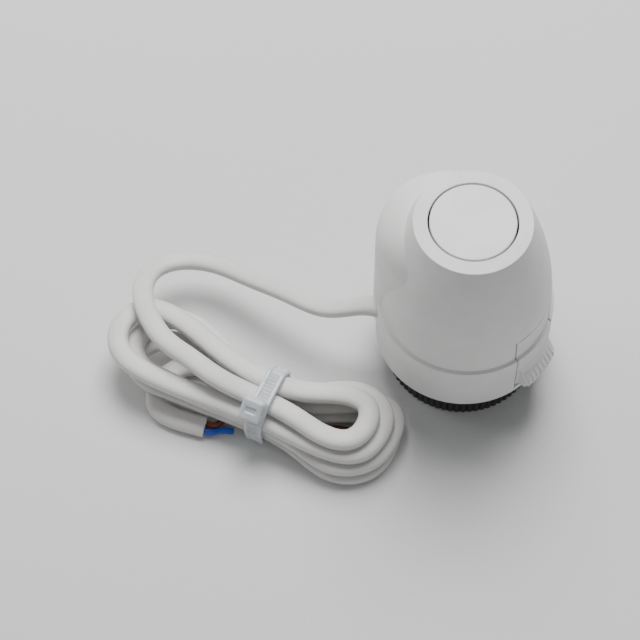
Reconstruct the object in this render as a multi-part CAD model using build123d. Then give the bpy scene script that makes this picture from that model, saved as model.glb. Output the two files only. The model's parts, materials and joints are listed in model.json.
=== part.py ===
"""Thermal valve actuator head with an M30 x 1.5 coupling ring, a release latch and a tied-up cable.

Millimetres, +Z up. The origin is on the valve axis, at the bottom face of the coupling ring.
+X points to the release latch, and the cable chamber is on the -X side.
"""
from build123d import *
import math
import os

# ---------------------------------------------------------------- driving dimensions
RIM_Z = 10.8            # lower edge of the white housing
LEDGE_Z = 26.9          # top of the skirt
TOP_Z = 62.5            # flat top of the housing
SKIRT_R = 22.0          # outside of the skirt
BELL_R = 21.2           # bell wall where it meets the skirt
SHOULDER_R = 14.3       # edge of the flat top
WALL = 1.6              # housing wall
GAP = 0.1               # ordinary assembly gap
LEDGE_BEVEL = 0.5       # slope of the ledge between the bell and the skirt

CHAMBER_R = 17.3        # cable chamber, a round lobe behind the bell
CHAMBER_OFFSET = 6.8    # its centre lies this far towards -X
CHAMBER_FLOOR_Z = 15.0
CHAMBER_TOP_Z = 59.6
CHAMBER_ROUND = 12.0    # radius round the top of the lobe

CAP_R = 10.4            # opening indicator in the top
CAP_GAP = 0.45
CAP_T = 1.9
CAP_TUBE_R = (7.8, 9.0)     # tube between the indicator and the cage

THREAD_PITCH = 1.5      # M30 x 1.5 inside the coupling ring
THREAD_MAJOR_R = 15.0
THREAD_MINOR_R = 14.188
THREAD_TURNS = 6
THREAD_START_Z = 1.2
THREAD_CREST = 0.5      # flat left between two grooves
RING_RELIEF_R = 14.6    # plain bore above the thread
RING_R = 19.2           # knurled part of the coupling ring
RING_BAND_R = 18.6      # smooth band above the knurl
KNURL_TOP_Z = 7.5
RING_TOP_Z = 10.0
NECK_R = 15.6
RING_FLANGE_R = 17.0
RING_FLANGE_T = 2.0
RING_NECK_L = 3.6       # neck between the ring and its flange
RING_BEVEL = 0.6
RIBS = 72
RIB_GROOVE = 0.96       # side of the square cutter between two ribs

FOOT_Z = 11.5           # face that presses on the valve pin, when the valve is closed

LATCH_HALF_W = 6.8      # release latch tongue, half its width
SLIT = 0.45             # slit on each side of the tongue
HINGE_Z = 34.0          # top of the tongue, where it bends
LATCH_BOTTOM_Z = 12.9
PAD_R = 24.3            # outside of the flared thumb pad
PAD_BOTTOM_Z = 13.2
PAD_TOP_Z = 24.4
RIDGES = 8
RIDGE_PITCH = 1.45
RIDGE_W = 0.8
RIDGE_PROUD = 0.5
RIDGE_TOP_Z = 18.6
PAD_INSET = 0.7         # the pad is narrower than the tongue by this on each side
SCOOP_Z = 19.8          # middle of the hollow above the pad
SCOOP_R = SKIRT_R + 0.45
PAD_EDGE_Z = 16.6       # where the pad is at its widest
PAD_LOWER_Z = 14.2
NOTCH_W = 1.7           # dark notch in each lower corner of the tongue
NOTCH_H = 0.7           # height of the notches above the pad's lower edge
PUSHER_HALF_W = 4.0     # inner shelf that pushes the locking plate
PUSHER_T = 0.9
LOCK_TRAVEL = 1.5       # travel of the locking ring towards -X

SPRING_R = 13.6         # closing spring, to the middle of its wire
SPRING_WIRE_R = 1.0
SPRING_BOTTOM_Z = 23.0
SPRING_TOP_Z = 56.0
SPRING_TURNS = 6
SPRING_COLLAR_R = (11.2, 13.4)  # collar under the housing's top that the spring pushes on
WASHER_R = (11.9, 14.3)
WASHER_T = 0.8

CAPSULE_R = 6.8         # wax capsule
CAPSULE_Z = 25.0
CAPSULE_TOP_Z = 40.0
GUIDE_TOP_Z = 46.0
PISTON_R = 1.8
CRIMP_H = 2.4           # rolled collar at the capsule's mouth
CRIMP_PROUD = 0.8
GUIDE_R = (4.2, 3.4)    # foot and nose of the piston guide
GUIDE_FOOT_H = 3.0
HEATER_R = 6.0
ROOF_Z = 50.0           # underside of the cage roof, on the piston
ROOF_T = 2.5
CAGE_R = 11.0           # cage roof
SEAT_R = 15.2           # spring seats on the cage legs
SEAT_HALF_W = 9.0
BEAM_T = 1.8
FOOT_R = 5.0
FOOT_T = 0.9

FRAME_POCKET_R = 12.5   # pocket under the base frame, for the foot beam
PEDESTAL_R = 8.4
SOCKET_R = 18.4         # outside of the socket for the ring's flange
SCREW_SHANK_R = 1.1
SCREW_HEAD_R = 2.0
SCREW_HEAD_H = 1.65
SCREW_TIP_Z = 27.0
SCREW_CROSS = (1.2, 0.25, 0.7)  # half length, half width and depth of the driver cross
BOSS_R = 2.4
BOSS_TOP_Z = 30.0
PILOT_R = 1.15
COVER_LEG_HALF_W = 1.8
COVER_LEG_X = 19.5
COVER_LEG_ANGLES = (80, 150, 210, 280)
PLATE_R = 19.0          # locking plate, before it is cut to the housing
PLATE_SHIFT = 1.2

CABLE_W = 5.3           # flat-oval two-core cable
CABLE_H = 3.1
CABLE_EXIT_X = -18.6
CABLE_EXIT_Y = -13.8
CABLE_EXIT_Z = 21.4
CABLE_HEADING = 22.0    # degrees, the way the cable runs in through the chamber wall
SHEATH_INSIDE = 5.0     # sheath left inside the chamber
CLAMP_PLACE = (2.6, 4.6)    # along the cable, inwards from the exit
CLAMP_T = 0.8
CORE_R = 0.8
CORE_PITCH = 2.0        # between the two cores in the sheath
CORE_STICKS_OUT = 0.8   # gap from the cut end to the modelled core
CORE_STRAIGHT = 0.6     # straight length before each free core bends
BLUE_PLACES = (         # free cores, along and across the coil and up
    (-9.5, -8.1, 0.9),
    (-6.2, -6.7, 0.85),
)
BROWN_PLACES = (
    (-9.3, -3.4, 0.82),
    (-7.0, -0.4, 1.2),
    (-3.6, 0.1, 2.0),
    (0.0, 0.15, 2.15),
    (3.6, 0.3, 2.15),
    (8.0, 1.0, 2.2),
    (12.0, 2.3, 2.2),
    (16.0, 4.3, 1.3),
    (20.0, 5.7, 0.95),
    (24.0, 5.4, 0.95),
)
COIL_X = -26.9          # where the coil passes through the tie
COIL_Y = -46.8
COIL_TILT = 12.0        # degrees from +X to the coil's long axis
COIL_TURNS = 3.925      # from the tie at the top of the stack to the cut end
COIL_REST_Z = 1.6       # centre line of the lowest turn
LAYER = 3.2             # the turns lie on each other in layers
TIE_LIFT = 1.25         # the strap under the bundle lifts it
HALF_TURNS = (          # reach, bulge on the near side and on the far side, shift of the far end
    (25.5, 4.5, 7.0, 3.5),
    (42.5, 6.0, 9.0, 3.0),
    (28.5, 4.5, 11.0, 2.5),
    (37.5, 3.5, 11.5, 1.0),
    (31.0, 9.0, 8.5, 7.0),
    (36.5, 3.5, 8.0, -0.5),
    (31.0, 9.0, 8.0, 5.5),
    (28.5, 5.5, 8.0, -4.5),
)
TIE_PLACES = (-0.8, 4.6, -4.3, 5.6, -3.7, 4.6, -3.3, 3.6, -7.7)  # across the coil, pass by pass
STATIONS_PER_TURN = 16
SPANS_PER_POINT = 3
TIE_W = 4.6             # strap of the cable tie
TIE_T = 1.1
TIE_HEAD = 5.6          # width and length of its head
TIE_HEAD_H = 4.0
TIE_HEAD_U = -1.0       # the head sits a little off the strap's middle

# ---------------------------------------------------------------- worked out
PEAK_OF_BULGE = 2 / (3 * math.sqrt(3))  # highest value of sin x cos^2
BELL_ARC_DROP = BELL_R - SHOULDER_R
BELL_H = TOP_Z - LEDGE_Z
BELL_ARC_R = (BELL_H ** 2 + BELL_ARC_DROP ** 2) / (2 * BELL_ARC_DROP)
SKIRT_IN_R = SKIRT_R - WALL
CAP_HOLE_R = CAP_R + CAP_GAP
RING_FLANGE_Z = RING_TOP_Z + RING_NECK_L
RING_FLANGE_TOP_Z = RING_FLANGE_Z + RING_FLANGE_T
RIB_CUT_DEPTH = 0.12    # the cutter's middle lies this far outside the ribs
THREAD_BORE_TOP_Z = RING_TOP_Z + GAP
LOCK_Z = 12.1
LOCK_T = 1.3
LOCK_HOLE_R = RING_FLANGE_R + 3 * GAP
SLIDE_GAP = 0.15
FLOOR_Z = 16.0          # underside of the base frame's floor
FLOOR_TOP_Z = 19.4
LATCH_SWING = 1.5       # the frame is cut back by this, so that the latch can be pressed in
RECESS_Z = 18.4         # roof of the pocket the foot beam rises into
PEDESTAL_TOP_Z = 22.0
CONTACT_T = 0.4
LEG_IN = 9.0            # cage legs, nearest and furthest from the axis
LEG_OUT = 11.0
LEG_HALF_W = 4.0
LEG_GAP = 0.3
SEAT_T = 2.0
SCREW_HEAD_Z = FLOOR_Z + 0.2
SCREW_ANGLES = (60, -60, 130)
TERMINAL_X = -16.4      # mouth of the crimp terminals in the chamber
TERMINAL_L = 3.0
TERMINAL_Z = FLOOR_TOP_Z + 0.15
TERMINAL_H = 2.5
TERMINAL_HALF_W = 1.4
STRIP_HALF_W = 1.2
STRIP_DROP_X = -9.0     # the contact strips drop beside the pedestal here
STRIP_Z = FLOOR_TOP_Z + 0.2
TAIL_X = -17.2          # the cores' highest place inside the chamber
TAIL_START = (0.4, 0.6, 0.7)
TAIL_END = (0, 0.2, -1)
LOWER_STRIP_Y = -0.5
UPPER_STRIP_Y = 4.0
SCREW_CIRCLE_R = 18.1


def bell_radius(z):
    """Outside radius of the bell at a height above the ledge."""
    return BELL_R - BELL_ARC_R + math.sqrt(BELL_ARC_R ** 2 - (z - LEDGE_Z) ** 2)


def disc(radius, low, high):
    """Upright cylinder on the valve axis."""
    standing = (Align.CENTER, Align.CENTER, Align.MIN)
    return Pos(0, 0, low) * Cylinder(radius, high - low, align=standing)


def tube(inner, outer, low, high):
    """Upright tube on the valve axis."""
    return disc(outer, low, high) - disc(inner, low - 1, high + 1)


def block(x0, x1, y0, y1, z0, z1):
    """Box from its lowest and highest corners."""
    centre = Pos((x0 + x1) / 2, (y0 + y1) / 2, (z0 + z1) / 2)
    return centre * Box(x1 - x0, y1 - y0, z1 - z0)


def revolve_outline(lines):
    """Solid of revolution about Z from a closed outline in the XZ plane."""
    face = make_face(Wire(lines))
    return revolve(face, Axis.Z)


def bell_solid(inset, bottom_z, skirt_r, top_z):
    """The housing's bell and skirt as one solid, drawn in by a wall thickness."""
    shoulder = bell_radius(top_z) - inset if inset else SHOULDER_R
    wall_mid_z = (LEDGE_Z + top_z) / 2
    step_z = LEDGE_Z - inset
    outline = [
        Line((0, 0, bottom_z), (skirt_r, 0, bottom_z)),
        Line((skirt_r, 0, bottom_z), (skirt_r, 0, step_z - LEDGE_BEVEL)),
        Line((skirt_r, 0, step_z - LEDGE_BEVEL), (BELL_R - inset, 0, step_z)),
        ThreePointArc(
            (BELL_R - inset, 0, step_z),
            (bell_radius(wall_mid_z) - inset, 0, wall_mid_z),
            (shoulder, 0, top_z),
        ),
        Line((shoulder, 0, top_z), (0, 0, top_z)),
        Line((0, 0, top_z), (0, 0, bottom_z)),
    ]
    return revolve_outline(outline)


def chamber_solid(radius, low, high, round_r):
    """The cable chamber's lobe, an upright cylinder rounded over at the top."""
    lobe = disc(radius, low, high)
    lobe = fillet(lobe.edges().group_by(Axis.Z)[-1], round_r)
    return Pos(-CHAMBER_OFFSET, 0, 0) * lobe


def cable_slot(width, height, length):
    """Flat-oval bar for the hole where the cable leaves the chamber."""
    profile = Plane.YZ * Ellipse(width / 2, height / 2)
    bar = extrude(profile, amount=length / 2, both=True)
    return at_cable_exit(0) * bar


def at_cable_exit(inward):
    """Location on the straight stretch of cable in the chamber wall, local +X inwards."""
    exit_point = Pos(CABLE_EXIT_X, CABLE_EXIT_Y, CABLE_EXIT_Z)
    return exit_point * Rot(0, 0, CABLE_HEADING) * Pos(inward, 0, 0)


def on_screw_circle(angle):
    """Location of one frame screw."""
    return Rot(0, 0, angle) * Pos(SCREW_CIRCLE_R, 0, 0)


def housing_shell():
    """White bell with its skirt, cable chamber, spring collar and screw bosses."""
    outside = bell_solid(0, RIM_Z, SKIRT_R, TOP_Z)
    outside += chamber_solid(CHAMBER_R, CHAMBER_FLOOR_Z, CHAMBER_TOP_Z, CHAMBER_ROUND)
    inside_top = TOP_Z - CAP_T
    chamber_inside = chamber_solid(
        CHAMBER_R - WALL,
        CHAMBER_FLOOR_Z + WALL,
        CHAMBER_TOP_Z - WALL,
        CHAMBER_ROUND - WALL,
    )
    shell = outside - bell_solid(WALL, RIM_Z - 1, SKIRT_IN_R, inside_top) - chamber_inside
    shell += tube(*SPRING_COLLAR_R, SPRING_TOP_Z + WASHER_T, inside_top + GAP)
    for angle in SCREW_ANGLES:
        boss = on_screw_circle(angle) * disc(BOSS_R, FLOOR_TOP_Z + GAP, BOSS_TOP_Z)
        pilot = on_screw_circle(angle) * disc(PILOT_R, FLOOR_TOP_Z, SCREW_TIP_Z + 1)
        shell += boss & outside
        shell -= pilot
    shell -= disc(CAP_HOLE_R, inside_top - 2, TOP_Z + 1)
    shell -= latch_window(SLIT, LATCH_BOTTOM_Z - SLIT, HINGE_Z + SLIT / 2)
    shell -= cable_slot(CABLE_W + 2 * GAP, CABLE_H + 2 * GAP, CHAMBER_R)
    return shell


def latch_window(margin, low, high):
    """Block through the wall on the latch side, as wide as the tongue plus a margin."""
    half_w = LATCH_HALF_W + margin
    return block(SHOULDER_R, PAD_R + 2, -half_w, half_w, low, high)


def pad_outline(proud):
    """Closed XZ outline of the flared thumb pad, standing proud by a given amount."""
    outer = PAD_R + proud
    inner = SKIRT_IN_R + GAP
    return [
        Line((inner, 0, PAD_TOP_Z), (SKIRT_R, 0, PAD_TOP_Z)),
        ThreePointArc((SKIRT_R, 0, PAD_TOP_Z), (SCOOP_R, 0, SCOOP_Z), (outer, 0, PAD_EDGE_Z)),
        Line((outer, 0, PAD_EDGE_Z), (outer - 0.2, 0, PAD_LOWER_Z)),
        Line((outer - 0.2, 0, PAD_LOWER_Z), (outer - 1.0, 0, PAD_BOTTOM_Z)),
        Line((outer - 1.0, 0, PAD_BOTTOM_Z), (inner, 0, PAD_BOTTOM_Z)),
        Line((inner, 0, PAD_BOTTOM_Z), (inner, 0, PAD_TOP_Z)),
    ]


def release_latch():
    """Tongue cut from the housing wall, with a ridged thumb pad and an inner pusher."""
    outside = bell_solid(0, RIM_Z, SKIRT_R, TOP_Z)
    wall = outside - bell_solid(WALL, RIM_Z - 1, SKIRT_IN_R, TOP_Z - CAP_T)
    tongue = wall & latch_window(0, LATCH_BOTTOM_Z, HINGE_Z)
    tongue += revolve_outline(pad_outline(0)) & latch_window(-PAD_INSET, RIM_Z, LEDGE_Z)
    ridged = revolve_outline(pad_outline(RIDGE_PROUD))
    for i in range(RIDGES):
        y = (i - (RIDGES - 1) / 2) * RIDGE_PITCH
        ridge = block(SHOULDER_R, PAD_R + 2, y - RIDGE_W / 2, y + RIDGE_W / 2, PAD_BOTTOM_Z, RIDGE_TOP_Z)
        tongue += ridged & ridge
    for side in (-1, 1):
        notch_y = side * (LATCH_HALF_W - NOTCH_W / 2)
        notch = Pos(SKIRT_R, notch_y, PAD_BOTTOM_Z) * Box(2 * PUSHER_HALF_W, NOTCH_W, 2 * NOTCH_H)
        tongue -= notch
    tongue += block(
        SKIRT_IN_R - GAP / 2,
        SKIRT_R - 4 * GAP,
        -PUSHER_HALF_W,
        PUSHER_HALF_W,
        LATCH_BOTTOM_Z,
        LATCH_BOTTOM_Z + PUSHER_T,
    )
    return tongue


def indicator_cap():
    """Flush round disc in the top, on a tube that stands on the lifting cage."""
    cap = disc(CAP_R, TOP_Z - CAP_T, TOP_Z)
    cap = fillet(cap.edges().group_by(Axis.Z)[-1], CAP_GAP / 2)
    return cap + tube(*CAP_TUBE_R, ROOF_Z + ROOF_T, TOP_Z - CAP_T)


def coupling_ring():
    """Knurled union ring with the M30 thread, a neck and the flange that holds it in the head."""
    ring = disc(RING_R, 0, KNURL_TOP_Z) + disc(RING_BAND_R, KNURL_TOP_Z, RING_TOP_Z)
    ring = chamfer(ring.edges().group_by(Axis.Z)[0], RING_BEVEL)
    half = RIB_GROOVE / 2
    cutter = block(-half, half, -half, half, -1, KNURL_TOP_Z - half)
    groove = Pos(RING_R + RIB_CUT_DEPTH, 0, 0) * Rot(0, 0, 45) * cutter
    ring -= [Rot(0, 0, i * 360 / RIBS) * groove for i in range(RIBS)]
    ring += disc(NECK_R, RING_TOP_Z, RING_FLANGE_Z)
    ring += disc(RING_FLANGE_R, RING_FLANGE_Z, RING_FLANGE_TOP_Z)
    ring -= disc(THREAD_MINOR_R, -1, THREAD_BORE_TOP_Z)
    ring -= disc(RING_RELIEF_R, RING_TOP_Z, RING_FLANGE_TOP_Z + 1)
    return ring - thread_grooves()


def thread_grooves():
    """V grooves at the thread's pitch, cut out from the minor radius to the major radius."""
    mouth = THREAD_PITCH / 2 - THREAD_CREST / 2
    root = THREAD_PITCH / 15
    inner = THREAD_MINOR_R - 2 * GAP
    grooves = []
    for i in range(THREAD_TURNS):
        z = THREAD_START_Z + i * THREAD_PITCH
        outline = [
            Line((inner, 0, z - mouth), (THREAD_MAJOR_R, 0, z - root)),
            Line((THREAD_MAJOR_R, 0, z - root), (THREAD_MAJOR_R, 0, z + root)),
            Line((THREAD_MAJOR_R, 0, z + root), (inner, 0, z + mouth)),
            Line((inner, 0, z + mouth), (inner, 0, z - mouth)),
        ]
        grooves.append(revolve_outline(outline))
    return grooves


def locking_ring():
    """Sliding plate whose off-centre hole catches under the coupling ring's flange."""
    plate = Pos(PLATE_SHIFT, 0, 0) * disc(PLATE_R, LOCK_Z, LOCK_Z + LOCK_T)
    plate -= Pos(LOCK_TRAVEL, 0, 0) * disc(LOCK_HOLE_R, LOCK_Z - 1, LOCK_Z + LOCK_T + 1)
    return plate & disc(SKIRT_IN_R - SLIDE_GAP, LOCK_Z, LOCK_Z + LOCK_T)


def bottom_cover():
    """Black annular cover inside the rim, with four snap legs up to the base frame."""
    cover_r = SKIRT_IN_R - GAP
    cover_top = LOCK_Z - GAP
    cover = tube(LOCK_HOLE_R, cover_r, RIM_Z + GAP, cover_top)
    leg = block(
        COVER_LEG_X,
        cover_r - SLIDE_GAP,
        -COVER_LEG_HALF_W,
        COVER_LEG_HALF_W,
        cover_top - GAP,
        FLOOR_Z - GAP / 2,
    )
    leg = leg & disc(cover_r, RIM_Z, FLOOR_Z)
    for angle in COVER_LEG_ANGLES:
        cover += Rot(0, 0, angle) * leg
    return cover


def base_frame():
    """Load-bearing floor: socket for the coupling ring below, pedestal for the capsule above."""
    frame = disc(SKIRT_IN_R - 2 * GAP, FLOOR_Z, FLOOR_TOP_Z)
    frame -= disc(FRAME_POCKET_R, FLOOR_Z - 1, RECESS_Z)
    frame += disc(PEDESTAL_R, RECESS_Z, PEDESTAL_TOP_Z)
    frame += tube(RING_FLANGE_R + GAP, SOCKET_R, RING_FLANGE_Z, FLOOR_Z + GAP)
    window_half_w = LEG_HALF_W + LEG_GAP
    window = block(
        -window_half_w,
        window_half_w,
        LEG_IN - LEG_GAP,
        LEG_OUT + LEG_GAP,
        FLOOR_Z - 1,
        FLOOR_TOP_Z + 1,
    )
    frame = frame - window - mirror(window, Plane.XZ)
    pressed_latch = Pos(-LATCH_SWING, 0, 0) * disc(SKIRT_IN_R - GAP, LOCK_Z, LEDGE_Z)
    frame -= latch_window(SLIT, LOCK_Z, LEDGE_Z) - pressed_latch
    for angle in SCREW_ANGLES:
        hole = disc(SCREW_SHANK_R + 2 * GAP, FLOOR_Z - 4, FLOOR_TOP_Z + 1)
        hole += disc(SCREW_HEAD_R + 2 * GAP, FLOOR_Z - 4, SCREW_HEAD_Z + SCREW_HEAD_H + GAP / 2)
        frame -= on_screw_circle(angle) * hole
    return frame


def frame_screws():
    """Three screws that hold the base frame up in the housing."""
    head_top = SCREW_HEAD_Z + SCREW_HEAD_H
    half_l, half_w, depth = SCREW_CROSS
    cross = block(-half_l, half_l, -half_w, half_w, FLOOR_Z, SCREW_HEAD_Z + depth)
    screw = disc(SCREW_HEAD_R, SCREW_HEAD_Z, head_top)
    screw += disc(SCREW_SHANK_R, head_top - GAP, SCREW_TIP_Z)
    screw = screw - cross - Rot(0, 0, 90) * cross
    return Compound(children=[on_screw_circle(angle) * screw for angle in SCREW_ANGLES])


def lifting_cage():
    """Cage that the piston lifts: roof, two legs, spring seats and the beam over the valve pin."""
    roof_top = ROOF_Z + ROOF_T
    beam_z = FOOT_Z + FOOT_T
    cage = disc(CAGE_R, ROOF_Z, roof_top)
    seat = tube(LEG_OUT - 4 * GAP, SEAT_R, SPRING_BOTTOM_Z - SEAT_T, SPRING_BOTTOM_Z)
    seat = seat & block(-SEAT_HALF_W, SEAT_HALF_W, LEG_IN, SEAT_R + 1, FLOOR_TOP_Z, SPRING_BOTTOM_Z)
    leg = block(-LEG_HALF_W, LEG_HALF_W, LEG_IN, LEG_OUT, beam_z, roof_top) + seat
    cage = cage + leg + mirror(leg, Plane.XZ)
    cage = cage & disc(SEAT_R, FOOT_Z, roof_top)
    reach = LEG_IN + GAP
    cage += block(-LEG_HALF_W, LEG_HALF_W, -reach, reach, beam_z, beam_z + BEAM_T)
    return cage


def pressure_foot():
    """Hard disc under the beam that presses on the valve pin."""
    return disc(FOOT_R, FOOT_Z, FOOT_Z + FOOT_T)


def closing_spring():
    """Strong coil spring that holds the valve closed."""
    inset = SPRING_WIRE_R + GAP
    height = SPRING_TOP_Z - SPRING_BOTTOM_Z - 2 * inset
    helix = Helix(height / SPRING_TURNS, height, SPRING_R)
    path = Pos(0, 0, SPRING_BOTTOM_Z + inset) * helix
    profile = Plane(path @ 0, z_dir=path % 0) * Circle(SPRING_WIRE_R)
    return sweep(profile, path, is_frenet=True)


def spring_washer():
    """Flat steel seat between the spring and the housing's collar."""
    return tube(*WASHER_R, SPRING_TOP_Z, SPRING_TOP_Z + WASHER_T)


def wax_capsule():
    """Brass capsule filled with wax, with a rolled crimp collar at its mouth."""
    crimp_z = CAPSULE_TOP_Z - CRIMP_H
    capsule = disc(CAPSULE_R, CAPSULE_Z, crimp_z)
    capsule = fillet(capsule.edges().group_by(Axis.Z)[0], CRIMP_PROUD)
    collar = disc(CAPSULE_R + CRIMP_PROUD, crimp_z, CAPSULE_TOP_Z)
    return capsule + fillet(collar.edges().filter_by(GeomType.CIRCLE), CRIMP_H / 4)


def capsule_guide():
    """Nose of the capsule that guides the piston."""
    foot_r, nose_r = GUIDE_R
    foot_top = CAPSULE_TOP_Z + GUIDE_FOOT_H
    guide = disc(foot_r, CAPSULE_TOP_Z, foot_top) + disc(nose_r, foot_top, GUIDE_TOP_Z)
    return guide - disc(PISTON_R + GAP / 2, CAPSULE_TOP_Z + 2 * GAP, GUIDE_TOP_Z + 1)


def wax_piston():
    """Polished pin pushed out by the melting wax."""
    return disc(PISTON_R, CAPSULE_TOP_Z + 3 * GAP, ROOF_Z)


def ptc_heater():
    """Ceramic heater disc under the capsule."""
    return disc(HEATER_R, PEDESTAL_TOP_Z + CONTACT_T, CAPSULE_Z - CONTACT_T)


def contact(z, strip_y):
    """Brass contact disc with a strip that drops beside the pedestal and runs to a terminal."""
    y0 = strip_y - STRIP_HALF_W
    y1 = strip_y + STRIP_HALF_W
    top = z + CONTACT_T
    drop_in = STRIP_DROP_X
    drop_out = STRIP_DROP_X - CONTACT_T
    piece = disc(HEATER_R, z, top)
    piece += block(drop_out, -HEATER_R + 2, y0, y1, z, top)
    piece += block(drop_out, drop_in, y0, y1, STRIP_Z, top)
    piece += block(TERMINAL_X, drop_in, y0, y1, STRIP_Z, STRIP_Z + CONTACT_T)
    return piece


def crimp_terminals():
    """Two crimp barrels that join the cable's cores to the contact strips."""
    barrels = []
    for y in (LOWER_STRIP_Y, UPPER_STRIP_Y):
        y0 = y - TERMINAL_HALF_W
        y1 = y + TERMINAL_HALF_W
        barrel = block(TERMINAL_X - TERMINAL_L, TERMINAL_X, y0, y1, TERMINAL_Z, TERMINAL_Z + TERMINAL_H)
        barrels.append(fillet(barrel.edges().filter_by(Axis.X), TERMINAL_H / 5))
    return Compound(children=barrels)


def wire(points, radius, tangents=None):
    """Round wire along a smooth curve through points."""
    path = Spline(*points, tangents=tangents)
    profile = Plane(path @ 0, z_dir=path % 0) * Circle(radius)
    return sweep(profile, path)


def core_tail(side, target_y, top_z):
    """Insulated core from the sheath's inner end, up and over into a crimp terminal."""
    start = at_cable_exit(SHEATH_INSIDE + CORE_R) * Pos(0, side, 0)
    end = (TERMINAL_X - TERMINAL_L / 2, target_y, TERMINAL_Z + TERMINAL_H + 2 * GAP)
    middle = (TAIL_X, (start.position.Y + target_y) / 2, top_z)
    return wire([start.position, middle, end], CORE_R, tangents=[TAIL_START, TAIL_END])


def cable_clamp():
    """Saddle that presses the sheath down on the base frame."""
    low = FLOOR_TOP_Z + GAP - CABLE_EXIT_Z
    inner = CABLE_W / 2 + GAP
    outer = inner + CLAMP_T
    bridge = CABLE_H / 2 + GAP
    start, end = CLAMP_PLACE
    saddle = block(start, end, -outer, outer, low, bridge + 1.6 * CLAMP_T)
    saddle -= block(start - 1, end + 1, -inner, inner, low - 1, bridge)
    return at_cable_exit(0) * saddle & disc(SKIRT_IN_R - SLIDE_GAP, FLOOR_TOP_Z, LEDGE_Z)


def coil_point(turn):
    """Point on the coil's centre line, turn counted from the tie at the top of the stack."""
    half = min(int(2 * turn), len(HALF_TURNS) - 1)
    leftward = half % 2
    reach, near_bulge, far_bulge, shift = HALF_TURNS[half]
    angle = math.radians(-90 + 360 * turn)
    out = math.cos(angle)
    side = math.sin(angle)
    near = side < 0
    tie_place = TIE_PLACES[half + leftward] if near else TIE_PLACES[half + 1 - leftward]
    bulge = -near_bulge if near else far_bulge
    v = shift * out ** 2 + bulge * abs(side) * out ** 2 / PEAK_OF_BULGE + tie_place * abs(side) ** 3
    last_layer = half == len(HALF_TURNS) - 1
    rise = TIE_LIFT - (LAYER if leftward and near else 0)
    if last_layer and near:
        rise = 0
    z = COIL_REST_Z + LAYER * ((len(HALF_TURNS) - 1 - half) // 2) + rise * side ** 6
    return coil_to_frame(reach * out, v, z)


def coil_to_frame(u, v, z):
    """Turn a place along and across the coil into the model's frame."""
    tilt = math.radians(COIL_TILT)
    x = COIL_X + u * math.cos(tilt) - v * math.sin(tilt)
    y = COIL_Y + u * math.sin(tilt) + v * math.cos(tilt)
    return (x, y, z)


def lead_points():
    """Centre line of the free cable from inside the chamber to the top of the coil."""
    return [
        at_cable_exit(SHEATH_INSIDE).position,
        at_cable_exit(SHEATH_INSIDE / 2).position,
        at_cable_exit(0).position,
        Vector(-21.4, -15.2, 20.6),
        Vector(-28.5, -19.0, 17.2),
        Vector(-39.5, -20.3, 14.5),
        Vector(-51.5, -21.5, 12.0),
        Vector(-61.5, -23.0, 10.5),
        Vector(-69.5, -28.0, 10.8),
        Vector(-72.5, -34.5, 12.2),
        Vector(-70.0, -42.0, 14.3),
        Vector(-62.5, -48.0, 15.8),
        Vector(-55.0, -50.5, 16.0),
        Vector(-48.5, -50.5, 15.5),
        Vector(-42.5, -50.5, 15.0),
        Vector(-37.5, -50.0, 14.2),
    ]


def cable_sheath():
    """Flat-oval sheath: chamber, free lead and the tied coil down to its cut end."""
    stations = int(COIL_TURNS * STATIONS_PER_TURN) + 1
    coil = [Vector(*coil_point(i / STATIONS_PER_TURN)) for i in range(stations)]
    points = lead_points() + coil + [Vector(*coil_point(COIL_TURNS))]
    path = Spline(*points)
    sections = []
    spans = SPANS_PER_POINT * len(points)
    for i in range(spans + 1):
        place = i / spans
        along = path % place
        across = Vector(0, 0, 1).cross(along)
        sections.append(Plane(path @ place, x_dir=across, z_dir=along) * Ellipse(CABLE_W / 2, CABLE_H / 2))
    return loft(sections, ruled=True)


def free_core(side, places):
    """Insulated core from the sheath's cut end, through places along and across the coil."""
    end = Vector(*coil_point(COIL_TURNS))
    ahead = (end - Vector(*coil_point(COIL_TURNS - 0.02))).normalized()
    across = Vector(0, 0, 1).cross(ahead)
    start = end + ahead * CORE_STICKS_OUT + across * side
    beyond = [Vector(*coil_to_frame(*place)) for place in places]
    return wire([start, start + ahead * CORE_STRAIGHT] + beyond, CORE_R)


def cable_tie():
    """Nylon strap round the bundle of turns, with its head on the near shoulder."""
    shoulder = (-7.0, 11.2)
    hull = [
        (-2.6, 14.5),
        (6.2, 14.5),
        (8.7, 11.8),
        (8.7, 7.6),
        (6.9, TIE_T + 0.05),
        (-6.2, TIE_T + 0.05),
        (-7.5, 8.0),
        shoulder,
    ]
    inside = fillet(Polygon(*hull, align=None).vertices(), 1.2)
    outside = offset(inside, TIE_T)
    strap = extrude(Plane.YZ * (outside - inside), amount=TIE_W / 2, both=True)
    slope = math.degrees(math.atan2(hull[0][1] - shoulder[1], hull[0][0] - shoulder[0]))
    middle = Pos(TIE_HEAD_U, 0.65 * hull[0][0] + 0.35 * shoulder[0], 0.65 * hull[0][1] + 0.35 * shoulder[1])
    head = fillet(Box(TIE_HEAD, TIE_HEAD, TIE_HEAD_H).edges().filter_by(Axis.Z), 0.9)
    head = Pos(0, 0, TIE_HEAD_H / 2 + 0.1) * head
    tie = strap + middle * Rot(slope, 0, 0) * head
    return Pos(*coil_to_frame(0, 0, 0)) * Rot(0, 0, COIL_TILT) * tie


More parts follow.
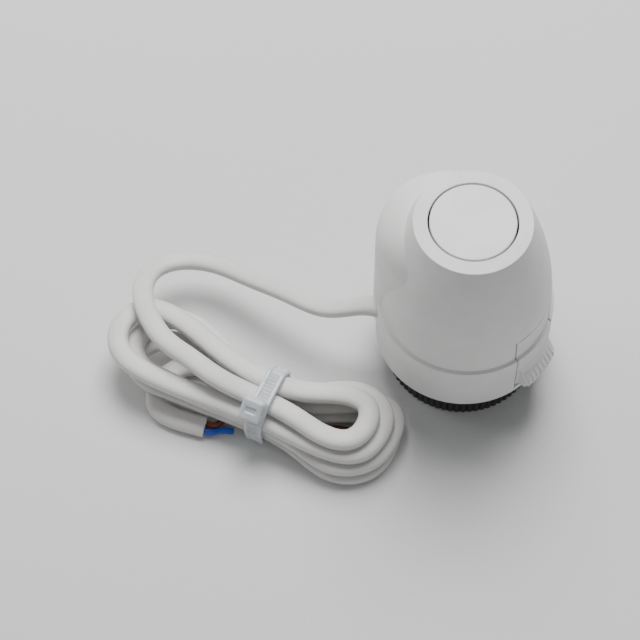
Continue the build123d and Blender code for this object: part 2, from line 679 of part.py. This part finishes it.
os.makedirs("parts", exist_ok=True)
NODES = {
    "housing_shell": housing_shell(),
    "release_latch": release_latch(),
    "indicator_cap": indicator_cap(),
    "coupling_ring": coupling_ring(),
    "locking_ring": locking_ring(),
    "bottom_cover": bottom_cover(),
    "base_frame": base_frame(),
    "frame_screws": frame_screws(),
    "lifting_cage": lifting_cage(),
    "pressure_foot": pressure_foot(),
    "closing_spring": closing_spring(),
    "spring_washer": spring_washer(),
    "wax_capsule": wax_capsule(),
    "capsule_guide": capsule_guide(),
    "wax_piston": wax_piston(),
    "ptc_heater": ptc_heater(),
    "lower_contact": contact(PEDESTAL_TOP_Z, LOWER_STRIP_Y),
    "upper_contact": contact(CAPSULE_Z - CONTACT_T, UPPER_STRIP_Y),
    "crimp_terminals": crimp_terminals(),
    "cable_clamp": cable_clamp(),
    "cable_sheath": cable_sheath(),
    "blue_tail": core_tail(-1.0, UPPER_STRIP_Y, 27.0),
    "brown_tail": core_tail(1.0, LOWER_STRIP_Y, 24.5),
    "blue_core": free_core(-CORE_PITCH / 2, BLUE_PLACES),
    "brown_core": free_core(CORE_PITCH / 2, BROWN_PLACES),
    "cable_tie": cable_tie(),
}
for name, shape in NODES.items():
    export_step(shape, f"parts/{name}.step")
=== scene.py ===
"""Looks for the valve actuator head: procedural materials, the tied cable, the strap, stage and camera."""
import bmesh
import bpy
import json
import math
import numpy as np
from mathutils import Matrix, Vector


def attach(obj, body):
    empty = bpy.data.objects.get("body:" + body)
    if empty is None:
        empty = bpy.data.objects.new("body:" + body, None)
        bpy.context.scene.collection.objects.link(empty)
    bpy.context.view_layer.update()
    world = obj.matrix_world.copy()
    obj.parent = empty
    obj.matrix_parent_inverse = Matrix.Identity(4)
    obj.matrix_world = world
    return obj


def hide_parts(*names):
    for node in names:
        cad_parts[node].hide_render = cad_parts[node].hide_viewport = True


MM = 0.001
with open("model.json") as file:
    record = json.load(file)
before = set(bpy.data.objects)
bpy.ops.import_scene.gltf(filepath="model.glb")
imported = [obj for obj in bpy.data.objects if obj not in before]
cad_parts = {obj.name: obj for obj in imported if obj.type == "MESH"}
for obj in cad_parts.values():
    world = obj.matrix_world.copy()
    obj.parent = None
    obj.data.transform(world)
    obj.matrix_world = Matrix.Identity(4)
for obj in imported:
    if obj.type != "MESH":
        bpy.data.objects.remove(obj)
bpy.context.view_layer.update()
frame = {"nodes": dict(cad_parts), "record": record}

# ---------------------------------------------------------------- driving dimensions, in millimetres
SHEATH_W = 5.3
SHEATH_H = 3.1
SHEATH_CORNER = 3.0         # power of the flat-oval outline, 2 is an ellipse
EXIT = (-18.6, -13.8, 21.4)
HEADING = math.radians(22.0)
INSIDE = 5.0
COIL_PLACE = (-26.9, -46.8)
COIL_TILT = math.radians(12.0)
COIL_TURNS = 3.925
COIL_REST_Z = 1.6
LAYER = 3.2
TIE_LIFT = 1.25
HALF_TURNS = (              # reach, bulge on the near side and on the far side, shift of the far end
    (25.5, 4.5, 7.0, 3.5),
    (42.5, 6.0, 9.0, 3.0),
    (28.5, 4.5, 11.0, 2.5),
    (37.5, 3.5, 11.5, 1.0),
    (31.0, 9.0, 8.5, 7.0),
    (36.5, 3.5, 8.0, -0.5),
    (31.0, 9.0, 8.0, 5.5),
    (28.5, 5.5, 8.0, -4.5),
)
TIE_PLACES = (-0.8, 4.6, -4.3, 5.6, -3.7, 4.6, -3.3, 3.6, -7.7)  # across the coil, pass by pass
PEAK_OF_BULGE = 2 / (3 * math.sqrt(3))
CORE_R = 0.8
CORE_PITCH = 2.0
CORE_INSIDE = 0.8           # cores start this far inside the cut end
CORE_STICKS_OUT = 0.8
CORE_STRAIGHT = 0.6         # straight length before each free core bends
BLUE_PLACES = ((-9.5, -8.1, 0.9), (-6.2, -6.7, 0.85))
BROWN_PLACES = ((-9.3, -3.4, 0.82), (-7.0, -0.4, 1.2), (-3.6, 0.1, 2.0), (0.0, 0.15, 2.15), (3.6, 0.3, 2.15),
                (8.0, 1.0, 2.2), (12.0, 2.3, 2.2), (16.0, 4.3, 1.3), (20.0, 5.7, 0.95), (24.0, 5.4, 0.95))
SHARP = math.radians(40.0)
TIE_W = 4.6
TIE_T = 1.1
TIE_HEAD = 5.6
TIE_HEAD_H = 4.0
TIE_HEAD_U = -1.0
TIE_HULL = (                # inner face of the strap, across the coil and up
    (-2.6, 14.5),
    (6.2, 14.5),
    (8.7, 11.8),
    (8.7, 7.6),
    (6.9, 1.15),
    (-6.2, 1.15),
    (-7.5, 8.0),
    (-7.0, 11.2),
)
TIE_EDGE = 0.25             # chamfer along the strap's long edges
TIE_RAIL = 0.9              # width of each side rail
RAIL_SLOPE = 0.12           # lean of each rail's inner side
TOOTH_DEPTH = 0.34          # the strap's teeth, from the rails down
TOOTH_RISE = 0.22
TIE_STEP = 0.25             # distance between stations round the strap
TIE_BEND = 1.2              # radius of the strap's corners
TIE_HEAD_EDGE = 0.7         # rounding of the head's edges
TIE_HEAD_GAP = 0.1          # head off the strap's inner face
POCKET_LONG = 0.45          # half-extents of the head's pocket, as a share of the head's
POCKET_WIDE = 0.3
POCKET_DEPTH = 0.35


# ---------------------------------------------------------------- node helpers
class Shader:
    """Short calls for building one procedural material."""

    def __init__(self, name):
        self.material = bpy.data.materials.new(name)
        self.material.use_nodes = True
        self.tree = self.material.node_tree
        self.bsdf = self.tree.nodes["Principled BSDF"]
        self.place = self.tree.nodes.new("ShaderNodeTexCoord").outputs["Object"]

    def node(self, kind, **settings):
        made = self.tree.nodes.new(kind)
        for key, value in settings.items():
            setattr(made, key, value)
        return made

    def link(self, source, target):
        self.tree.links.new(source, target)

    def stretched(self, scale):
        mapping = self.node("ShaderNodeMapping")
        mapping.inputs["Scale"].default_value = scale
        self.link(self.place, mapping.inputs["Vector"])
        return mapping.outputs["Vector"]

    def noise(self, scale, detail=3.0, roughness=0.5, vector=None):
        made = self.node("ShaderNodeTexNoise")
        made.inputs["Scale"].default_value = scale
        made.inputs["Detail"].default_value = detail
        made.inputs["Roughness"].default_value = roughness
        self.link(vector or self.place, made.inputs["Vector"])
        return made.outputs["Fac"]

    def span(self, value, low, high, out_low, out_high):
        made = self.node("ShaderNodeMapRange")
        for key, number in zip(("From Min", "From Max", "To Min", "To Max"), (low, high, out_low, out_high)):
            made.inputs[key].default_value = number
        self.link(value, made.inputs["Value"])
        return made.outputs["Result"]

    def mix(self, factor, first, second):
        made = self.node("ShaderNodeMix", data_type="RGBA")
        if isinstance(factor, float):
            made.inputs["Factor"].default_value = factor
        else:
            self.link(factor, made.inputs["Factor"])
        for key, colour in (("A", first), ("B", second)):
            socket = [s for s in made.inputs if s.name == key and s.type == "RGBA"][0]
            if isinstance(colour, tuple):
                socket.default_value = (*colour[:3], 1.0)
            else:
                self.link(colour, socket)
        return [s for s in made.outputs if s.type == "RGBA"][0]

    def add(self, first, second, factor=1.0):
        made = self.node("ShaderNodeMath", operation="MULTIPLY_ADD")
        self.link(second, made.inputs[0])
        made.inputs[1].default_value = factor
        self.link(first, made.inputs[2])
        return made.outputs[0]

    def bump(self, height, depth, edge_radius=0.0):
        made = self.node("ShaderNodeBump")
        made.inputs["Distance"].default_value = depth
        made.inputs["Strength"].default_value = 1.0
        self.link(height, made.inputs["Height"])
        if edge_radius:
            rounding = self.node("ShaderNodeBevel", samples=4)
            rounding.inputs["Radius"].default_value = edge_radius
            self.link(rounding.outputs["Normal"], made.inputs["Normal"])
        self.link(made.outputs["Normal"], self.bsdf.inputs["Normal"])

    def edges(self, radius):
        """Mask that is bright on convex edges, where the painted highlight goes."""
        rounding = self.node("ShaderNodeBevel", samples=4)
        rounding.inputs["Radius"].default_value = radius
        geometry = self.node("ShaderNodeNewGeometry")
        dot = self.node("ShaderNodeVectorMath", operation="DOT_PRODUCT")
        self.link(rounding.outputs["Normal"], dot.inputs[0])
        self.link(geometry.outputs["Normal"], dot.inputs[1])
        return self.span(dot.outputs["Value"], 0.98, 0.75, 0.0, 1.0)

    def set(self, key, value):
        socket = self.bsdf.inputs[key]
        if hasattr(value, "is_output"):
            self.link(value, socket)
        else:
            socket.default_value = value


def darker(colour, share):
    return tuple(channel * share for channel in colour)


def moulded_plastic(name, colour, roughness, grain_mm=0.16, depth_mm=0.012, edge_mm=0.25, soft=0.0):
    """Injection-moulded plastic: eroded mould grain, faint flow mottling, a painted highlight on convex
    edges.
    """
    s = Shader(name)
    grain = s.noise(1 / (grain_mm * MM), 2.0, 0.6)
    flow = s.noise(90.0, 4.0, 0.55)
    dust = s.noise(900.0, 2.0, 0.4)
    mottled = s.mix(s.span(flow, 0.35, 0.65, 0.0, 1.0), colour, darker(colour, 0.94))
    specked = s.mix(s.span(dust, 0.70, 0.80, 0.0, 0.25), mottled, darker(colour, 0.75))
    # convex edges get a lighter colour: a painted highlight
    plastic_edge_highlight = tuple(min(1.0, channel * 1.06 + 0.015) for channel in colour)
    edge_highlighted_colour = s.mix(s.edges(edge_mm * MM), specked, plastic_edge_highlight)
    s.set("Base Color", edge_highlighted_colour)
    s.set("Roughness", s.add(s.span(flow, 0.3, 0.7, roughness - 0.05, roughness + 0.05), grain, 0.08))
    s.set("Specular IOR Level", 0.45)
    if soft:
        s.set("Subsurface Weight", soft)
        s.set("Subsurface Radius", (1.0, 0.95, 0.9))
        s.set("Subsurface Scale", 0.8 * MM)
    s.bump(s.add(grain, flow, 0.5), depth_mm * MM, edge_mm * MM)
    return s.material


def drawn_metal(name, colour, roughness, along=(1.0, 1.0, 0.04), tarnish=0.15, edge_mm=0.12):
    """Metal with directional scratches, a light uneven tarnish and a painted highlight on convex edges."""
    s = Shader(name)
    scratches = s.noise(2600.0, 4.0, 0.65, s.stretched(along))
    cloud = s.noise(260.0, 5.0, 0.6)
    s.set("Metallic", 1.0)
    dull = s.mix(s.span(cloud, 0.4, 0.75, 0.0, tarnish * 3), colour, darker(colour, 0.62))
    # convex edges get a brighter colour: a painted highlight
    metal_edge_highlight = tuple(min(1.0, channel * 1.12) for channel in colour)
    s.set("Base Color", s.mix(s.edges(edge_mm * MM), dull, metal_edge_highlight))
    s.set("Roughness", s.add(s.span(cloud, 0.3, 0.8, roughness, roughness + 0.18), scratches, 0.10))
    s.bump(scratches, 0.004 * MM, edge_mm * MM)
    return s.material


def cable_pvc(name, colour):
    """Soft extruded PVC: faint draw lines, hand marks and a satin skin."""
    s = Shader(name)
    cloud = s.noise(140.0, 4.0, 0.6)
    skin = s.noise(3800.0, 3.0, 0.6)
    marks = s.noise(520.0, 5.0, 0.7)
    base = s.mix(s.span(cloud, 0.35, 0.7, 0.0, 1.0), colour, darker(colour, 0.93))
    s.set("Base Color", s.mix(s.span(marks, 0.62, 0.8, 0.0, 0.35), base, darker(colour, 0.8)))
    s.set("Roughness", s.span(marks, 0.3, 0.75, 0.36, 0.52))
    s.set("Specular IOR Level", 0.5)
    s.set("Subsurface Weight", 0.12)
    s.set("Subsurface Scale", 0.6 * MM)
    s.bump(s.add(skin, marks, 1.2), 0.02 * MM)
    return s.material


def core_pvc(name, colour):
    """Glossy coloured insulation of one core."""
    s = Shader(name)
    cloud = s.noise(700.0, 3.0, 0.6)
    skin = s.noise(4200.0, 2.0, 0.5)
    s.set("Base Color", s.mix(s.span(cloud, 0.35, 0.7, 0.0, 1.0), colour, darker(colour, 0.75)))
    s.set("Roughness", s.span(cloud, 0.3, 0.7, 0.28, 0.42))
    s.bump(s.add(skin, cloud, 0.6), 0.015 * MM)
    return s.material


def ceramic(name, colour):
    """Fired heater ceramic with a silvered, slightly blotchy face."""
    s = Shader(name)
    blotch = s.noise(900.0, 6.0, 0.7)
    pores = s.noise(5200.0, 2.0, 0.5)
    s.set("Base Color", s.mix(s.span(blotch, 0.42, 0.62, 0.0, 1.0), colour, (0.5, 0.5, 0.49)))
    s.set("Roughness", s.span(blotch, 0.3, 0.7, 0.45, 0.7))
    s.bump(s.add(blotch, pores, 0.7), 0.03 * MM, 0.1 * MM)
    return s.material


def nylon(name, colour):
    """Translucent natural nylon with a bluish cast and a moulded sheen."""
    s = Shader(name)
    cloud = s.noise(420.0, 4.0, 0.6)
    skin = s.noise(3600.0, 2.0, 0.5)
    s.set("Base Color", s.mix(s.span(cloud, 0.35, 0.7, 0.0, 1.0), colour, (0.74, 0.79, 0.84)))
    s.set("Roughness", s.span(cloud, 0.3, 0.7, 0.26, 0.42))
    s.set("Transmission Weight", 0.35)
    s.set("IOR", 1.53)
    s.set("Subsurface Weight", 0.35)
    s.set("Subsurface Scale", 1.2 * MM)
    s.bump(skin, 0.01 * MM, 0.15 * MM)
    return s.material


# ---------------------------------------------------------------- materials of the CAD nodes
def slot_materials():
    """One finish per material slot of the record."""
    white = (0.79, 0.79, 0.775)
    steel = (0.62, 0.63, 0.65)
    brass = (0.78, 0.58, 0.28)
    return {
        "white_housing": moulded_plastic("white_housing", white, 0.44, soft=0.06),
        "white_latch": moulded_plastic("white_latch", white, 0.42, soft=0.06),
        "white_cap": moulded_plastic("white_cap", (0.81, 0.81, 0.80), 0.38, grain_mm=0.12, soft=0.06),
        "black_ring": moulded_plastic("black_ring", (0.022, 0.022, 0.024), 0.38, edge_mm=0.18),
        "black_cover": moulded_plastic("black_cover", (0.028, 0.028, 0.030), 0.45),
        "grey_frame": moulded_plastic("grey_frame", (0.24, 0.25, 0.26), 0.5),
        "grey_cage": moulded_plastic("grey_cage", (0.36, 0.37, 0.38), 0.48),
        "grey_clamp": moulded_plastic("grey_clamp", (0.30, 0.31, 0.32), 0.5),
        "steel_plate": drawn_metal("steel_plate", steel, 0.28, along=(1.0, 0.05, 1.0)),
        "zinc_screw": drawn_metal("zinc_screw", (0.66, 0.68, 0.70), 0.3),
        "steel_foot": drawn_metal("steel_foot", steel, 0.22, along=(0.06, 1.0, 1.0)),
        "spring_steel": drawn_metal("spring_steel", (0.42, 0.43, 0.45), 0.34, tarnish=0.25),
        "washer_steel": drawn_metal("washer_steel", (0.6, 0.61, 0.63), 0.3, along=(1.0, 0.05, 1.0)),
        "polished_piston": drawn_metal("polished_piston", (0.76, 0.77, 0.78), 0.12, tarnish=0.05),
        "tinned_terminal": drawn_metal("tinned_terminal", (0.72, 0.72, 0.71), 0.4, tarnish=0.25),
        "brass_capsule": drawn_metal("brass_capsule", brass, 0.26, tarnish=0.3),
        "brass_guide": drawn_metal("brass_guide", brass, 0.24, along=(1.0, 1.0, 1.0), tarnish=0.25),
        "brass_contact": drawn_metal("brass_contact", (0.8, 0.62, 0.33), 0.3, along=(0.05, 1.0, 1.0)),
        "heater_ceramic": ceramic("heater_ceramic", (0.2, 0.185, 0.175)),
        "cable_sheath": cable_pvc("cable_sheath", (0.70, 0.69, 0.67)),
        "blue_core": core_pvc("blue_core", (0.02, 0.10, 0.60)),
        "brown_core": core_pvc("brown_core", (0.20, 0.05, 0.022)),
        "nylon_tie": nylon("nylon_tie", (0.84, 0.88, 0.91)),
    }


def dress_cad_nodes(finishes):
    """Give every carried-over CAD node the material of its slot."""
    slots = {row["node"]: row["material_slot"] for row in frame["record"]["subparts"]}
    for node, piece in frame["nodes"].items():
        piece.data.materials.clear()
        piece.data.materials.append(finishes[slots[node]])


# ---------------------------------------------------------------- cable
def coil_to_frame(u, v, z):
    """A place along and across the coil, in the row frame."""
    x = COIL_PLACE[0] + u * math.cos(COIL_TILT) - v * math.sin(COIL_TILT)
    y = COIL_PLACE[1] + u * math.sin(COIL_TILT) + v * math.cos(COIL_TILT)
    return np.array((x, y, z))


def coil_point(turn):
    """Centre line of the coil, from the tie at the top of the stack down to the cut end."""
    half = min(int(2 * turn), len(HALF_TURNS) - 1)
    leftward = half % 2
    reach, near_bulge, far_bulge, shift = HALF_TURNS[half]
    angle = math.radians(-90 + 360 * turn)
    out = math.cos(angle)
    side = math.sin(angle)
    near = side < 0
    tie_place = TIE_PLACES[half + leftward] if near else TIE_PLACES[half + 1 - leftward]
    bulge = -near_bulge if near else far_bulge
    v = shift * out ** 2 + bulge * abs(side) * out ** 2 / PEAK_OF_BULGE + tie_place * abs(side) ** 3
    rise = TIE_LIFT - (LAYER if leftward and near else 0)
    if half == len(HALF_TURNS) - 1 and near:
        rise = 0
    z = COIL_REST_Z + LAYER * ((len(HALF_TURNS) - 1 - half) // 2) + rise * side ** 6
    return coil_to_frame(reach * out, v, z)


def lead_points():
    """Centre line of the free lead, from inside the chamber to the coil."""
    inward = np.array((math.cos(HEADING), math.sin(HEADING), 0.0))
    straight = [np.array(EXIT) + inward * d for d in (INSIDE, INSIDE / 2, 0.0)]
    bends = ((-21.4, -15.2, 20.6), (-28.5, -19.0, 17.2), (-39.5, -20.3, 14.5),
             (-51.5, -21.5, 12.0), (-61.5, -23.0, 10.5),
             (-69.5, -28.0, 10.8), (-72.5, -34.5, 12.2), (-70.0, -42.0, 14.3), (-62.5, -48.0, 15.8),
             (-55.0, -50.5, 16.0), (-48.5, -50.5, 15.5), (-42.5, -50.5, 15.0), (-37.5, -50.0, 14.2))
    return straight + [np.array(p) for p in bends]


def smooth_path(points, step):
    """Even stations along a natural cubic spline through points."""
    points = np.array(points)
    chord = np.r_[0, np.cumsum(np.linalg.norm(np.diff(points, axis=0), axis=1))]
    gap = np.diff(chord)
    count = len(points)
    matrix = np.eye(count)
    right = np.zeros((count, 3))
    for i in range(1, count - 1):
        matrix[i, i - 1] = gap[i - 1]
        matrix[i, i] = 2 * (gap[i - 1] + gap[i])
        matrix[i, i + 1] = gap[i]
        right[i] = 6 * ((points[i + 1] - points[i]) / gap[i] - (points[i] - points[i - 1]) / gap[i - 1])
    bend = np.linalg.solve(matrix, right)
    stations = np.linspace(0, chord[-1], int(chord[-1] / step) + 1)
    span = np.clip(np.searchsorted(chord, stations, side="right") - 1, 0, count - 2)
    h = gap[span][:, None]
    b = ((stations - chord[span])[:, None]) / h
    a = 1 - b
    curve = a * points[span] + b * points[span + 1]
    return curve + ((a ** 3 - a) * bend[span] + (b ** 3 - b) * bend[span + 1]) * h ** 2 / 6


def section_ring(count, half_w, half_h, power):
    """Closed outline between an ellipse and a rounded rectangle."""
    ring = []
    for i in range(count):
        angle = 2 * math.pi * i / count
        c, s = math.cos(angle), math.sin(angle)
        wide = math.copysign(abs(c) ** (2 / power), c)
        high = math.copysign(abs(s) ** (2 / power), s)
        ring.append((half_w * wide, half_h * high))
    return ring


def mesh_piece(name, verts, faces, material, body):
    """A mesh object that rides on a body, from vertices in millimetres."""
    mesh = bpy.data.meshes.new(name)
    mesh.from_pydata([tuple(float(c) * MM for c in v) for v in verts], [], faces)
    cleaner = bmesh.new()
    cleaner.from_mesh(mesh)
    bmesh.ops.remove_doubles(cleaner, verts=cleaner.verts, dist=1e-7)
    bmesh.ops.recalc_face_normals(cleaner, faces=cleaner.faces)
    for edge in cleaner.edges:
        edge.smooth = len(edge.link_faces) != 2 or edge.calc_face_angle() < SHARP
    cleaner.to_mesh(mesh)
    cleaner.free()
    mesh.polygons.foreach_set("use_smooth", [True] * len(mesh.polygons))
    mesh.materials.append(material)
    mesh.update()
    piece = bpy.data.objects.new(name, mesh)
    bpy.context.scene.collection.objects.link(piece)
    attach(piece, body)
    return piece


def swept(path, ring, end_steps):
    """Skin along a path; end_steps are (shrink, forward) rings that close the far end."""
    up = np.array((0.0, 0.0, 1.0))
    verts = []
    for i, centre in enumerate(path):
        ahead = path[min(i + 1, len(path) - 1)] - path[max(i - 1, 0)]
        ahead = ahead / np.linalg.norm(ahead)
        across = np.cross(up, ahead)
        across = across / np.linalg.norm(across)
        top = np.cross(ahead, across)
        verts += [centre + across * a + top * b for a, b in ring]
    for shrink, forward in end_steps:
        verts += [path[-1] + ahead * forward + (across * a + top * b) * shrink for a, b in ring]
    size = len(ring)
    rows = len(path) + len(end_steps)
    faces = []
    for i in range(rows - 1):
        for k in range(size):
            nxt = (k + 1) % size
            faces.append((i * size + k, i * size + nxt, (i + 1) * size + nxt, (i + 1) * size + k))
    faces.append(tuple((rows - 1) * size + k for k in range(size)))
    faces.append(tuple(reversed(range(size))))
    return verts, faces


def cable_piece(finish):
    """The sheath as one swept skin, with a rounded cut edge and a recess that shows the wall."""
    coil = [coil_point(i / 16) for i in range(int(COIL_TURNS * 16) + 1)]
    path = smooth_path(lead_points() + coil + [coil_point(COIL_TURNS)], 0.8)
    ring = section_ring(32, SHEATH_W / 2, SHEATH_H / 2, SHEATH_CORNER)
    verts, faces = swept(path, ring, ((0.96, 0.10), (0.90, 0.14), (0.76, 0.12), (0.72, -1.4)))
    piece = mesh_piece("cable_skin", verts, faces, finish, "root")
    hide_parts("cable_sheath")


def core_piece(name, side, places, finish):
    """One insulated core from inside the cut end to its own snipped tip."""
    end = coil_point(COIL_TURNS)
    ahead = end - coil_point(COIL_TURNS - 0.02)
    ahead = ahead / np.linalg.norm(ahead)
    across = np.cross(np.array((0.0, 0.0, 1.0)), ahead)
    middle = end + across * side
    leaves = middle + ahead * CORE_STICKS_OUT
    starts = [middle - ahead * CORE_INSIDE, leaves, leaves + ahead * CORE_STRAIGHT]
    path = smooth_path(starts + [coil_to_frame(*place) for place in places], 0.3)
    ring = section_ring(20, CORE_R, CORE_R, 2.0)
    verts, faces = swept(path, ring, ((0.92, 0.06), (0.55, 0.05), (0.50, -0.3)))
    piece = mesh_piece(name + "_skin", verts, faces, finish, "root")
    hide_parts(name)


# ---------------------------------------------------------------- cable tie
def rounded_loop(points, radius, step):
    """Stations (place, outward normal) round a closed convex outline with arcs at its corners."""
    points = [np.array(p) for p in points]
    stations = []
    for i, corner in enumerate(points):
        back = points[i - 1] - corner
        on = points[(i + 1) % len(points)] - corner
        back = back / np.linalg.norm(back)
        on = on / np.linalg.norm(on)
        bisector = (back + on) / np.linalg.norm(back + on)
        half = math.acos(float(np.dot(back, bisector)))
        centre = corner + bisector * radius / math.sin(half)
        first = -np.array((-back[1], back[0]))
        sweep = math.pi - 2 * half
        start = math.atan2(first[1], first[0])
        if np.dot(first, bisector) > 0:
            start += math.pi
        turn = -1.0
        for k in range(7):
            angle = start + turn * sweep * k / 6
            normal = np.array((math.cos(angle), math.sin(angle)))
            stations.append((centre + normal * radius, normal))
    even = []
    for i, (place, normal) in enumerate(stations):
        nxt, nxt_normal = stations[(i + 1) % len(stations)]
        pieces = max(1, int(np.linalg.norm(nxt - place) / step))
        for k in range(pieces):
            share = k / pieces
            blended = normal * (1 - share) + nxt_normal * share
            even.append((place * (1 - share) + nxt * share, blended / np.linalg.norm(blended)))
    return even


def tie_strap(finish):
    """Strap round the bundle, with side rails and a band of fine teeth between them."""
    loop = rounded_loop(TIE_HULL, TIE_BEND, TIE_STEP)
    edge = TIE_W / 2
    soft = edge - TIE_EDGE
    rail = edge - TIE_RAIL
    verts = []
    for i, (place, normal) in enumerate(loop):
        tooth = TIE_T - TOOTH_DEPTH + TOOTH_RISE * (i % 4) / 3
        half = ((soft, 0.0), (edge, TIE_EDGE), (edge, TIE_T - TIE_EDGE), (soft, TIE_T),
                (rail, TIE_T), (rail - RAIL_SLOPE, tooth))
        profile = half + tuple((-u, out) for u, out in reversed(half))
        for u, out in profile:
            v, z = place + normal * out
            verts.append(coil_to_frame(u, v, z))
    size = len(profile)
    count = len(loop)
    faces = []
    for i in range(count):
        for k in range(size):
            nxt = (k + 1) % size
            row = ((i + 1) % count) * size
            faces.append((i * size + k, i * size + nxt, row + nxt, row + k))
    return mesh_piece("tie_strap", verts, faces, finish, "root")


def rounded_block(halves, radius, cuts=5):
    """Vertices and faces of a box with rounded edges, and a slot pressed into its +Z face."""
    inner = np.array([half - radius for half in halves])
    lines = []
    for half in halves:
        soft = [half - radius + radius * math.tan(math.pi / 4 * k / cuts) for k in range(cuts + 1)]
        flat = [(-0.5 + k / 14) * 2 * (half - radius) for k in range(1, 14)]
        lines.append([-c for c in reversed(soft)] + flat + soft)
    verts = []
    faces = []
    for axis in range(3):
        first, second = [a for a in range(3) if a != axis]
        for sign in (-1, 1):
            base = len(verts)
            for a in lines[first]:
                for b in lines[second]:
                    point = np.zeros(3)
                    point[axis], point[first], point[second] = sign * halves[axis], a, b
                    core = np.clip(point, -inner, inner)
                    away = point - core
                    point = core + away / np.linalg.norm(away) * radius
                    in_pocket = abs(a) < POCKET_LONG * halves[0] and abs(b) < POCKET_WIDE * halves[1]
                    if axis == 2 and sign > 0 and in_pocket:
                        point[2] -= POCKET_DEPTH
                    verts.append(point)
            wide = len(lines[second])
            for i in range(len(lines[first]) - 1):
                for k in range(wide - 1):
                    low = base + i * wide + k
                    faces.append((low, low + 1, low + wide + 1, low + wide))
    return verts, faces


def tie_head(finish):
    """Head of the tie: a rounded block on the near shoulder with a slot pressed into its top."""
    top, shoulder = np.array(TIE_HULL[0]), np.array(TIE_HULL[-1])
    middle = 0.65 * top + 0.35 * shoulder
    slope = math.atan2(top[1] - shoulder[1], top[0] - shoulder[0])
    along = np.array((math.cos(slope), math.sin(slope)))
    out = np.array((-math.sin(slope), math.cos(slope)))
    verts, faces = rounded_block((TIE_HEAD / 2, TIE_HEAD / 2, TIE_HEAD_H / 2), TIE_HEAD_EDGE)
    placed = []
    for u, a, n in verts:
        v, z = middle + along * a + out * (n + TIE_HEAD_H / 2 + TIE_HEAD_GAP)
        placed.append(coil_to_frame(TIE_HEAD_U + u, v, z))
    return mesh_piece("tie_head", placed, faces, finish, "root")


def cable_tie(finish):
    """Strap and head stand in for the plain tie."""
    strap = tie_strap(finish)
    tie_head(finish)
    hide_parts("cable_tie")


# ---------------------------------------------------------------- stage
def make_stage():
    """Plain pale floor: one flat square that reaches out of sight."""
    mesh = bpy.data.meshes.new("floor")
    far = 3.0
    mesh.from_pydata([(-far, -far, 0), (far, -far, 0), (far, far, 0), (-far, far, 0)], [], [(0, 1, 2, 3)])
    s = Shader("floor_paper")
    tooth = s.noise(900.0, 3.0, 0.6)
    s.set("Base Color", s.mix(s.span(tooth, 0.3, 0.7, 0.0, 1.0), (0.74, 0.74, 0.735), (0.72, 0.72, 0.715)))
    s.set("Roughness", 0.75)
    s.bump(tooth, 0.02 * MM)
    mesh.materials.append(s.material)
    floor = bpy.data.objects.new("floor", mesh)
    bpy.context.scene.collection.objects.link(floor)


def area_light(name, place, target, size, power, tint=(1.0, 1.0, 1.0)):
    """Soft square light aimed at a point."""
    data = bpy.data.lights.new(name, "AREA")
    data.size = size
    data.energy = power
    data.color = tint
    light = bpy.data.objects.new(name, data)
    light.location = place
    light.rotation_euler = (Vector(target) - Vector(place)).to_track_quat("-Z", "Y").to_euler()
    bpy.context.scene.collection.objects.link(light)


def make_lights():
    """Big soft box above and behind, weak fill from the front."""
    middle = (-0.02, -0.02, 0.02)
    area_light("key", (-0.25, 0.35, 0.75), middle, 0.5, 11.0)
    area_light("fill", (0.7, -0.6, 0.45), middle, 0.8, 1.2)
    area_light("rim", (-0.7, -0.1, 0.35), middle, 0.5, 1.6)
    world = bpy.data.worlds.new("studio")
    world.use_nodes = True
    world.node_tree.nodes["Background"].inputs["Color"].default_value = (0.9, 0.92, 0.95, 1.0)
    world.node_tree.nodes["Background"].inputs["Strength"].default_value = 0.2
    bpy.context.scene.world = world


def make_camera():
    """Long lens, looking steeply down at the object."""
    distance, height = 0.29897, 0.55815
    azimuth = math.radians(30.0)
    heading = math.radians(126.94)
    pitch = math.radians(61.38)
    data = bpy.data.cameras.new("camera")
    data.lens = 137.87
    data.sensor_width = 36.0
    camera = bpy.data.objects.new("camera", data)
    camera.location = (distance * math.sin(azimuth), -distance * math.cos(azimuth), height)
    level = math.cos(pitch)
    look = Vector((math.cos(heading) * level, math.sin(heading) * level, -math.sin(pitch)))
    camera.rotation_euler = look.to_track_quat("-Z", "Y").to_euler()
    bpy.context.scene.collection.objects.link(camera)
    bpy.context.scene.camera = camera


finishes = slot_materials()
dress_cad_nodes(finishes)
cable_piece(finishes["cable_sheath"])
core_piece("blue_core", -CORE_PITCH / 2, BLUE_PLACES, finishes["blue_core"])
core_piece("brown_core", CORE_PITCH / 2, BROWN_PLACES, finishes["brown_core"])
cable_tie(finishes["nylon_tie"])
make_stage()
make_lights()
make_camera()
